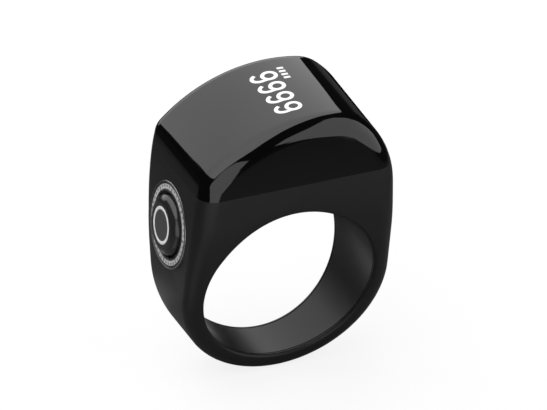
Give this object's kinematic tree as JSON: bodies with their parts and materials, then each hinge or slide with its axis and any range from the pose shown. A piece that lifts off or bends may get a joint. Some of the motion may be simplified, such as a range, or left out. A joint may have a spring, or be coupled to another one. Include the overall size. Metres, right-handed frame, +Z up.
{
  "type": "digital tasbih counter",
  "caption": "Black finger ring with an arched display crown and a round side button that counts prayers; a vibration motor marks a full round.",
  "frame": {"origin": "centre of the finger bore, halfway between the front and back faces", "axes": "+X away from the button, +Y along the finger, +Z up to the display"},
  "size_m": [0.0252, 0.016, 0.0333],
  "materials": {
    "housing": "satin black moulding",
    "crown_lens": "polished smoked black",
    "lens_gasket": "black adhesive foam",
    "button_bezel": "dark ring with grey marks",
    "button_cap": "polished black",
    "button_inlay": "white ring",
    "button_seal": "black O-ring",
    "switch_base": "black moulding",
    "switch_plunger": "ivory moulding",
    "switch_dome": "stainless snap dome",
    "switch_flex": "amber film",
    "main_board": "green circuit board",
    "display_carrier": "black moulding",
    "carrier_screws": "plated steel",
    "display_foam": "black foam",
    "display_rear_glass": "clear glass",
    "display_front_glass": "clear glass",
    "display_polariser": "grey film",
    "display_bond": "clear adhesive",
    "display_driver": "bare chip",
    "display_flex": "amber film",
    "display_connector": "beige moulding",
    "processor_chip": "black package",
    "charger_chip": "black package",
    "crystal": "metal can",
    "antenna_chip": "white ceramic",
    "board_capacitors": "brown ceramic",
    "board_resistors": "black film",
    "battery_tape": "yellow tape",
    "battery_cell": "laminate pouch",
    "battery_board": "green circuit board",
    "battery_tabs": "nickel strip",
    "battery_leads": "insulated wire",
    "charge_contacts": "gold plated",
    "charge_flex": "amber film",
    "charge_magnets": "nickel plated",
    "motor_boot": "black rubber",
    "motor_can": "drawn steel",
    "motor_bushing": "sintered bronze",
    "motor_magnet": "sintered magnet",
    "motor_cap": "white moulding",
    "motor_shaft": "ground steel",
    "motor_coil": "enamelled copper wire",
    "motor_weight": "sintered tungsten",
    "motor_leads": "insulated wire"
  },
  "bodies": {
    "ring": {"housing": "housing", "crown_lens": "crown_lens", "lens_gasket": "lens_gasket", "button_bezel": "button_bezel", "switch_base": "switch_base", "switch_dome": "switch_dome", "switch_flex": "switch_flex", "main_board": "main_board", "display_carrier": "display_carrier", "carrier_screws": "carrier_screws", "display_foam": "display_foam", "display_rear_glass": "display_rear_glass", "display_front_glass": "display_front_glass", "display_polariser": "display_polariser", "display_bond": "display_bond", "display_driver": "display_driver", "display_flex": "display_flex", "display_connector": "display_connector", "processor_chip": "processor_chip", "charger_chip": "charger_chip", "crystal": "crystal", "antenna_chip": "antenna_chip", "board_capacitors": "board_capacitors", "board_resistors": "board_resistors", "battery_tape": "battery_tape", "battery_cell": "battery_cell", "battery_board": "battery_board", "battery_tabs": "battery_tabs", "battery_leads": "battery_leads", "charge_contacts": "charge_contacts", "charge_flex": "charge_flex", "charge_magnets": "charge_magnets", "motor_boot": "motor_boot", "motor_can": "motor_can", "motor_bushing": "motor_bushing", "motor_magnet": "motor_magnet", "motor_cap": "motor_cap", "motor_leads": "motor_leads"},
    "button": {"button_cap": "button_cap", "button_inlay": "button_inlay", "button_seal": "button_seal"},
    "plunger": {"switch_plunger": "switch_plunger"},
    "rotor": {"motor_shaft": "motor_shaft", "motor_coil": "motor_coil", "motor_weight": "motor_weight"}
  },
  "joints": [
    {"name": "button_press", "type": "slide", "parent": "ring", "child": "button", "axis": [0.9968, 0, -0.08], "range_m": [0, 0.0002], "stiffness_N_per_m": 8000},
    {"name": "plunger_press", "type": "slide", "parent": "ring", "child": "plunger", "axis": [0.9968, 0, -0.08], "range_m": [0, 0.0002]},
    {"name": "motor_spin", "type": "hinge", "parent": "ring", "child": "rotor", "pos_m": [0.0083, 0, 0.01175], "axis": [0, 1, 0], "continuous": true}
  ],
  "couplings": [
    {"joint": "plunger_press", "follows": "button_press", "ratio": 1}
  ]
}
